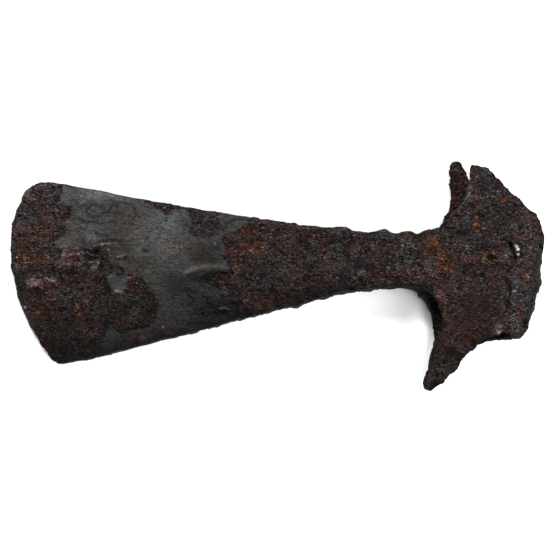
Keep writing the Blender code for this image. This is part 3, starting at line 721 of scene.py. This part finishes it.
def masks_and_relief(points, facing):
    """Each vertex's rise in mm and its colour masks."""
    above = (points - EYE_CENTRE) @ MIDDLE_NORMAL
    upper = smoothstep(-0.2, 0.25, facing[:, 2]) * (above > -0.5 * MM)
    socket = smoothstep(SOCKET_START - 0.02, SOCKET_START + 0.01, points[:, 0])
    edge_share = smoothstep(-0.100, -0.060, points[:, 0])
    far_inside = smoothstep(0.3, 0.7, facing[:, 2]) * (above < -0.5 * MM) * socket
    places = picture_places(points)
    wobble = np.stack([layered_noise(points, 3.2, 3, seed) for seed in (11, 21)], 1)

    # Patina and rust
    warped = places + wobble * BORDER_WOBBLE
    patina = smoothstep(-3.0, 3.0, depth_inside(warped, PATINA_OUTLINE))
    for share, outline in RUST_AREAS:
        patina *= 1 - share * smoothstep(-2.6, 2.6, depth_inside(warped, outline))
    patina = np.clip(patina - spots(warped, WORN), 0, 1)
    flake = smoothstep(-0.8, 0.8, depth_inside(places + wobble * FLAKE_WOBBLE, SCALLOPED_FLAKE))
    patina = np.maximum(patina, flake)
    below = layered_noise(points * (1, 1.6, 1), 28, 3, 31)
    patina_below = smoothstep(0.10, 0.22, below) * (1 - socket) * (facing[:, 2] < 0)
    patina = patina * upper + patina_below * (1 - upper)
    rust = 1 - patina

    # The crust's grain and the skin's faint strokes
    stretched = points * (0.7, 1.0, 1.0)
    crust = 0.20 * layered_noise(stretched, 2.6, 2, 51)
    crust += 0.20 * layered_noise(stretched, 1.25, 2, 61)
    crust -= 0.18 * np.abs(layered_noise(stretched, 1.7, 2, 71))
    smooth_skin = 0.040 * layered_noise(points * (0.35, 1.0, 1.0), 1.6, 2, 91)
    relief = rust * crust + patina * smooth_skin
    for where, groups in ((rust > 0.6, CRUST_MARKS), (patina > 0.6, SKIN_MARKS)):
        for group in groups:
            relief += scattered_marks(points, where, *group)

    # The marks that the upper side shows
    drawn = places + wobble * MARK_WOBBLE
    marks = spots(drawn, DOMES) - spots(drawn, HOLLOWS)
    marks += bands(drawn, RIDGES) - bands(drawn, GROOVES)
    flaking = np.clip(spots(places, FLAKING), 0, 1)
    layers = 4 * layered_noise(stretched, 3.0, 3, 151)
    steps = np.floor(layers) + smoothstep(0.72, 0.98, layers - np.floor(layers))
    marks += 0.22 * flaking * steps
    marks += 0.35 * flake
    relief += marks * upper
    relief = np.where(relief < 0, relief * (0.45 + 0.55 * edge_share), relief)
    fine_rise = relief.copy()

    # Broad unevenness, strongest on the side walls of neck and socket
    side = 1 - np.abs(facing[:, 2])
    wear = 0.45 * layered_noise(points, 6, 3, 161) * smoothstep(0.4, 0.9, side)
    relief += wear * (0.25 + 0.75 * smoothstep(0.0, 0.05, points[:, 0]))
    relief += rust * (0.25 * layered_noise(points, 7, 2, 41) - 0.10)
    relief += patina * (0.10 * layered_noise(points, 14, 2, 81) + 0.14)

    soft = places + wobble * SPOT_WOBBLE
    # Tone marks and bands: the iron's own tone with painted light and shade, painted highlights, and
    # painted shade along the lower borders
    tone = spots(soft, TONES_AND_PAINTED_LIGHT) + bands(soft, HIGHLIGHT_AND_DARK_LINES) + bands(soft, PAINTED_BORDER_SHADE, 1)
    # Painted shade along the grooves, no stronger than 0.3
    grooves = [(line, 1.1, min(depth, 0.3)) for line, _, depth in GROOVES]
    masks = {
        "patina": patina + 0.8 * flake * upper,
        "orange": spots(soft, ORANGE) * upper,
        "ochre": spots(soft, OCHRE) * upper,
        "red": spots(soft, RED) * upper + 0.8 * far_inside,
        "pink": spots(soft, PINK) * upper,
        "cool": spots(soft, COOL) * upper,
        "pale_flake_and_glint": spots(places, PALE_FLAKES_AND_GLINTS, 3.0) * upper,
        "smooth": np.clip(spots(soft, SMOOTH_CRUST), 0, 1) * upper,
        "tone": tone * upper - 0.2 * far_inside,
        # Painted shade: darker lines in the grooves
        "line": bands(drawn, grooves) * upper,
        # Painted shade: walls that face sideways are darker
        "side": smoothstep(0.06, 0.45, side),
        # Painted shade: recesses near black
        "recess_shade": np.clip(spots(places, PAINTED_RECESS_SHADE), 0, 1) * smoothstep(0.12, 0.5, side),
        # Painted shade and light: hollows of the fine relief darker, its crests lighter
        "rise": 0.5 + fine_rise,
    }
    return relief, masks


def fine_surface(node):
    """A finer mesh of the node's form with the relief in it and the masks stored on it."""
    piece = dense_copy(node)
    points = trimmed(vertex_vectors(piece.data.vertices, "co"))
    facing = vertex_vectors(piece.data.vertex_normals, "vector")
    relief, masks = masks_and_relief(points, facing)
    moved = points + facing * (relief * MM)[:, None]
    moved[:, 2] = np.maximum(moved[:, 2], 0.0)
    piece.data.vertices.foreach_set("co", moved.astype(np.float32).ravel())
    piece.data.update()
    for name, values in masks.items():
        attribute = piece.data.attributes.new(name, "FLOAT", "POINT")
        attribute.data.foreach_set("value", np.clip(values, -2, 2).astype(np.float32))
    plain = piece.vertex_groups.new(name="plain_side")
    plain.add(np.flatnonzero(facing[:, 2] < PLAIN_SIDE_FACING).tolist(), 1.0, "REPLACE")
    triangles = sum(len(polygon.vertices) - 2 for polygon in piece.data.polygons)
    if triangles > MOST_TRIANGLES:
        reduce_faces = piece.modifiers.new("fewer_faces", "DECIMATE")
        reduce_faces.ratio = MOST_TRIANGLES / triangles
        reduce_faces.vertex_group = "plain_side"
        reduce_faces.vertex_group_factor = 1.0
        apply_modifiers(piece)
    piece.data.shade_smooth()
    return piece


def colour(numbers):
    """A colour given in the usual 0-255 display numbers, as the shader takes it."""
    shares = [number / 255 for number in numbers]
    linear = [c / 12.92 if c <= 0.04045 else ((c + 0.055) / 1.055) ** 2.4 for c in shares]
    return (*linear, 1.0)


class Nodes:
    """Short calls for wiring a material's nodes."""

    def __init__(self, material):
        self.tree = material.node_tree

    def add(self, kind, **settings):
        node = self.tree.nodes.new("ShaderNode" + kind)
        for name, value in settings.items():
            setattr(node, name, value)
        return node

    def put(self, socket, value):
        if isinstance(value, bpy.types.NodeSocket):
            self.tree.links.new(value, socket)
        else:
            socket.default_value = value

    def mask(self, name):
        return self.add("Attribute", attribute_name=name).outputs["Fac"]

    def math(self, operation, first, second, clamp=False):
        node = self.add("Math", operation=operation, use_clamp=clamp)
        self.put(node.inputs[0], first)
        self.put(node.inputs[1], second)
        return node.outputs[0]

    def plus(self, *parts):
        return reduce(lambda first, second: self.math("ADD", first, second), parts)

    def times(self, first, second, clamp=False):
        return self.math("MULTIPLY", first, second, clamp)

    def centred(self, noise, gain, middle=0.5):
        """A gain times how far the noise is from its middle."""
        return self.times(self.math("SUBTRACT", noise, middle), gain)

    def all_but(self, mask, share):
        """One where the mask is nothing, and less by the share where it is full."""
        return self.math("SUBTRACT", 1.0, self.times(mask, share))

    def stretched(self, place, stretch):
        node = self.add("Mapping")
        self.put(node.inputs["Vector"], place)
        node.inputs["Scale"].default_value = stretch
        return node.outputs[0]

    def noise(self, place, size_mm, detail, rough=0.55, stretch=None, swirl=0.0):
        if stretch:
            place = self.stretched(place, stretch)
        node = self.add("TexNoise")
        self.put(node.inputs["Vector"], place)
        node.inputs["Scale"].default_value = 1000.0 / size_mm
        node.inputs["Detail"].default_value = detail
        node.inputs["Roughness"].default_value = rough
        node.inputs["Distortion"].default_value = swirl
        return node.outputs["Fac"]

    def flakes(self, place, size_mm, stretch):
        """A random number for each small flake, and how far from its border a place is."""
        place = self.stretched(place, [share * 1000.0 / size_mm for share in stretch])
        cells = self.add("TexVoronoi", feature="F1")
        edges = self.add("TexVoronoi", feature="DISTANCE_TO_EDGE")
        for node in (cells, edges):
            self.put(node.inputs["Vector"], place)
            node.inputs["Scale"].default_value = 1.0
        parts = self.add("SeparateColor")
        self.put(parts.inputs[0], cells.outputs["Color"])
        return parts.outputs[0], self.between(edges.outputs["Distance"], 0.0, 0.16)

    def vectors(self, operation, first, second):
        node = self.add("VectorMath", operation=operation)
        self.put(node.inputs[0], first)
        self.put(node.inputs["Scale" if operation == "SCALE" else 1], second)
        return node.outputs[0]

    def warped(self, place, size_mm, reach_mm):
        """The place moved about by noise."""
        node = self.add("TexNoise")
        self.put(node.inputs["Vector"], place)
        node.inputs["Scale"].default_value = 1000.0 / size_mm
        node.inputs["Detail"].default_value = 2.0
        off = self.vectors("SUBTRACT", node.outputs["Color"], (0.5, 0.5, 0.5))
        return self.vectors("ADD", place, self.vectors("SCALE", off, reach_mm * MM))

    def between(self, value, low, high):
        node = self.add("MapRange", interpolation_type="SMOOTHSTEP")
        self.put(node.inputs["Value"], value)
        node.inputs["From Min"].default_value = low
        node.inputs["From Max"].default_value = high
        return node.outputs["Result"]

    def blend(self, share, first, second, how="MIX"):
        node = self.add("Mix", data_type="RGBA", blend_type=how)
        self.put(node.inputs[0], share)
        self.put(node.inputs[6], first)
        self.put(node.inputs[7], second)
        return node.outputs[2]

    def ramp(self, value, low, low_shade, high, high_shade):
        node = self.add("ValToRGB")
        self.put(node.inputs[0], value)
        first, last = node.color_ramp.elements
        first.position, first.color = low, colour(low_shade)
        last.position, last.color = high, colour(high_shade)
        return node.outputs["Color"]


def iron_grains(nodes):
    """The noises that the iron's colour, tone and shaded surface share."""
    place = nodes.add("TexCoord").outputs["Object"]
    swirled = nodes.warped(place, 1.6, 1.6)
    grains = {
        "zone": nodes.noise(place, 7.0, 3.0),
        "hue": nodes.noise(place, 2.6, 2.0, 0.5),
        "grain": nodes.noise(place, 1.3, 2.0, 0.55, (0.65, 1.0, 1.0), 1.0),
        "fine": nodes.noise(place, 0.50, 0.6, 0.5, (0.5, 1.0, 1.0), 0.8),
        "streak": nodes.noise(place, 0.8, 3.0, 0.65, (0.25, 1.0, 1.0)),
        "border": nodes.noise(place, 3.2, 4.0, 0.65),
        "pit": nodes.noise(place, 1.7, 1.0, 0.5, (0.6, 1.0, 1.0), 0.8),
        "fleck": nodes.noise(place, 1.9, 2.0, 0.6, (0.8, 1.0, 1.0)),
        "unrest": nodes.noise(swirled, 2.8, 1.0),
    }
    curled = nodes.warped(place, 3.0, 3.0)
    grains["crest"] = nodes.noise(curled, 1.4, 1.0, 0.5, (0.5, 1.0, 1.0), 0.8)
    grains["flake"], grains["crack"] = nodes.flakes(swirled, 1.25, (0.55, 1.0, 1.0))
    grains["crumb"], grains["gap"] = nodes.flakes(swirled, 0.62, (0.6, 1.0, 1.0))
    return grains


def iron_colour(nodes, grains, is_skin):
    """The hues of crust, patina and spots, with painted sheen and glints, before light and dark."""
    grain, zone = grains["grain"], grains["zone"]
    cool, red = nodes.mask("cool"), nodes.mask("red")

    greyness = nodes.plus(grains["hue"], nodes.centred(zone, 1.5))
    evened = nodes.all_but(nodes.mask("smooth"), SMOOTH_CRUST_CALM)
    greyness = nodes.times(nodes.centred(nodes.between(greyness, 0.29, 0.67), 1.0), evened)
    crust = nodes.blend(nodes.plus(greyness, 0.5), colour(RED_CRUST), colour(GREY_CRUST))
    crust = nodes.blend(nodes.times(cool, 0.8, True), crust, colour(COOL_CRUST))
    warmed = nodes.blend(1.0, crust, colour(WARM_TINT), "MULTIPLY")
    crust = nodes.blend(red, crust, warmed)
    # Painted sheen: where the grain is lightest the crust turns grey
    crest = nodes.plus(nodes.centred(grains["fine"], 2.4), nodes.centred(grain, 1.6))
    crest = nodes.times(nodes.between(crest, -0.1, 0.6), 0.65)
    crust = nodes.blend(crest, crust, colour(CREST_SHEEN_GREY))

    skin = nodes.between(zone, 0.42, 0.6)
    skin = nodes.blend(skin, colour(GREY_SKIN), colour(OLIVE_SKIN))
    skin = nodes.blend(nodes.times(cool, 1.0, True), skin, colour(COOL_SKIN))
    skin = nodes.blend(nodes.times(red, 0.8, True), skin, colour(RED_SKIN))

    base = nodes.blend(is_skin, crust, skin)
    flecks = nodes.between(grains["fleck"], 0.64, 0.76)
    flecks = nodes.times(nodes.times(flecks, nodes.all_but(is_skin, 1.0)), 0.6)
    base = nodes.blend(flecks, base, colour(RUST_FLECK))
    halo = nodes.times(nodes.between(nodes.mask("orange"), 0.05, 0.5), 0.75)
    base = nodes.blend(halo, base, colour(RUST_HALO))
    orange = nodes.ramp(grain, 0.3, DARK_ORANGE, 0.6, LIGHT_ORANGE)
    ochre = nodes.ramp(grain, 0.3, DARK_OCHRE, 0.6, LIGHT_OCHRE)
    for name, raggedness, low, high, shade in (
        ("orange", 0.7, 0.30, 0.75, orange),
        ("ochre", 0.7, 0.25, 0.80, ochre),
        ("pink", 0.9, 0.25, 0.9, colour(PINK_CRUST)),
        # Pale flakes, with painted glints
        ("pale_flake_and_glint", 0.9, 0.10, 1.1, colour(PALE_FLAKE_AND_GLINT)),
    ):
        mask = nodes.mask(name)
        share = nodes.between(nodes.plus(mask, nodes.centred(grain, raggedness)), low, high)
        base = nodes.blend(nodes.times(share, nodes.between(mask, 0.02, 0.2)), base, shade)
    return base


def iron_tone(nodes, grains, is_skin):
    """How light or dark each place is, as a factor on its colour, painted light and shade included.
    """
    detail = [nodes.centred(grains[name], gain) for name, gain in TONE_GAINS.items()]
    detail += [nodes.centred(grains[name], gain, 0.8) for name, gain in BORDER_GAINS.items()]
    # Painted shade and light from the fine relief: hollows darker, crests lighter
    detail.append(nodes.centred(nodes.mask("rise"), 1.5))
    detail.append(nodes.times(nodes.between(grains["pit"], 0.42, 0.34), -0.7))
    detail.append(nodes.times(nodes.between(grains["crest"], 0.57, 0.68), 0.3))
    detail = nodes.plus(*detail)
    lit_part = nodes.times(nodes.math("MAXIMUM", detail, 0.0), 0.55)
    dark_part = nodes.times(nodes.math("MINIMUM", detail, 0.0), 1.4)
    detail = nodes.plus(lit_part, dark_part)

    blot = nodes.times(nodes.mask("orange"), 1.0, True)
    strength = nodes.times(nodes.between(grains["unrest"], 0.38, 0.62), 0.75)
    strength = nodes.times(nodes.plus(strength, 0.55), nodes.all_but(is_skin, SKIN_CALM))
    evened = nodes.all_but(nodes.mask("smooth"), SMOOTH_CRUST_CALM)
    strength = nodes.times(nodes.times(strength, evened), nodes.all_but(blot, 0.45))

    power = nodes.plus(
        nodes.times(detail, strength),
        nodes.centred(grains["zone"], 0.9),
        # Tone marks: partly the iron's own tone, partly painted light and shade
        nodes.mask("tone"),
        nodes.times(blot, 0.30),
        nodes.times(nodes.centred(grains["streak"], 1.8), is_skin),
        # Painted shade on the side walls
        nodes.times(nodes.mask("side"), -1.0),
        # Painted shade in the recesses
        nodes.times(nodes.mask("recess_shade"), -2.0),
        # Painted shade in the grooves
        nodes.times(nodes.mask("line"), -3.2),
    )
    power = nodes.math("MAXIMUM", power, DARKEST_POWER)
    power = nodes.math("MINIMUM", power, LIGHTEST_POWER)
    return nodes.times(nodes.math("POWER", math.e, power), EXPOSURE_SHARE)


def iron_material():
    material = bpy.data.materials.new("corroded_iron_surface")
    material.use_nodes = True
    nodes = Nodes(material)
    shader = material.node_tree.nodes["Principled BSDF"]
    grains = iron_grains(nodes)
    ragged = nodes.plus(
        nodes.mask("patina"), nodes.centred(grains["fine"], 0.9), nodes.centred(grains["border"], 1.5)
    )
    is_skin = nodes.between(ragged, 0.29, 0.71)

    greyed = nodes.add("CombineColor")
    tone = iron_tone(nodes, grains, is_skin)
    for socket in greyed.inputs:
        nodes.put(socket, tone)
    base = nodes.blend(1.0, iron_colour(nodes, grains, is_skin), greyed.outputs[0], "MULTIPLY")
    nodes.put(shader.inputs["Base Color"], base)
    smoother = nodes.times(is_skin, SKIN_ROUGHNESS - CRUST_ROUGHNESS)
    nodes.put(shader.inputs["Roughness"], nodes.plus(smoother, CRUST_ROUGHNESS))
    shader.inputs["Metallic"].default_value = 0.0
    shader.inputs["Specular IOR Level"].default_value = SPECULAR_LEVEL

    relief = nodes.plus(*(nodes.times(grains[name], gain) for name, gain in BUMP_GAINS.items()))
    bump = nodes.add("Bump")
    bump.inputs["Strength"].default_value = 1.0
    bump.inputs["Distance"].default_value = 1.0 * MM
    nodes.put(bump.inputs["Height"], nodes.times(relief, nodes.all_but(is_skin, SKIN_CALM)))
    nodes.put(shader.inputs["Normal"], bump.outputs["Normal"])
    return material


def paper_material():
    material = bpy.data.materials.new("white_paper")
    material.use_nodes = True
    shader = material.node_tree.nodes["Principled BSDF"]
    shader.inputs["Base Color"].default_value = (PAPER_SHADE, PAPER_SHADE, PAPER_SHADE, 1.0)
    shader.inputs["Roughness"].default_value = PAPER_ROUGHNESS
    shader.inputs["Specular IOR Level"].default_value = PAPER_SPECULAR
    return material


def make_floor():
    shape = bmesh.new()
    bmesh.ops.create_grid(shape, x_segments=1, y_segments=1, size=PAPER_HALF_SIZE)
    mesh = bpy.data.meshes.new("floor")
    shape.to_mesh(mesh)
    shape.free()
    floor = bpy.data.objects.new("floor", mesh)
    floor.location.z = -PAPER_DROP
    mesh.materials.append(paper_material())
    bpy.context.scene.collection.objects.link(floor)
    return floor


def light_up(piece, lamps):
    """Soft round lamps that look at the origin and light one object."""
    lit = bpy.data.collections.new("lit_" + piece.name)
    lit.objects.link(piece)
    for name, (place, size, watts) in lamps.items():
        light = bpy.data.lights.new(name, "AREA")
        light.shape = "DISK"
        light.size = size
        light.energy = watts
        lamp = bpy.data.objects.new(name, light)
        lamp.location = place
        lamp.rotation_euler = (-Vector(place)).to_track_quat("-Z", "Y").to_euler()
        bpy.context.scene.collection.objects.link(lamp)
        lamp.light_linking.receiver_collection = lit


def make_studio(head, floor):
    scene = bpy.context.scene
    scene.view_settings.view_transform = "Standard"
    scene.view_settings.look = "None"
    scene.world = bpy.data.worlds.new("studio")
    scene.world.use_nodes = True
    background = scene.world.node_tree.nodes["Background"]
    background.inputs["Color"].default_value = (1.0, 1.0, 1.0, 1.0)
    background.inputs["Strength"].default_value = SKY_STRENGTH
    light_up(head, HEAD_LAMPS)
    light_up(floor, PAPER_LAMPS)


def make_camera():
    right, up, back = camera_axes()
    data = bpy.data.cameras.new("camera")
    data.sensor_width = SENSOR
    data.lens = SENSOR * PIXELS_PER_METRE * DISTANCE / PICTURE
    data.clip_start, data.clip_end = NEAREST_SEEN, FARTHEST_SEEN
    camera = bpy.data.objects.new("camera", data)
    turn = Matrix((right, up, back)).transposed().to_4x4()
    camera.matrix_world = Matrix.Translation(TARGET + back * DISTANCE) @ turn
    bpy.context.scene.collection.objects.link(camera)
    bpy.context.scene.camera = camera


head = fine_surface(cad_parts["axe_head"])
head.data.materials.clear()
head.data.materials.append(iron_material())
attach(head, "root")
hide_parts("axe_head")
make_studio(head, make_floor())
make_camera()
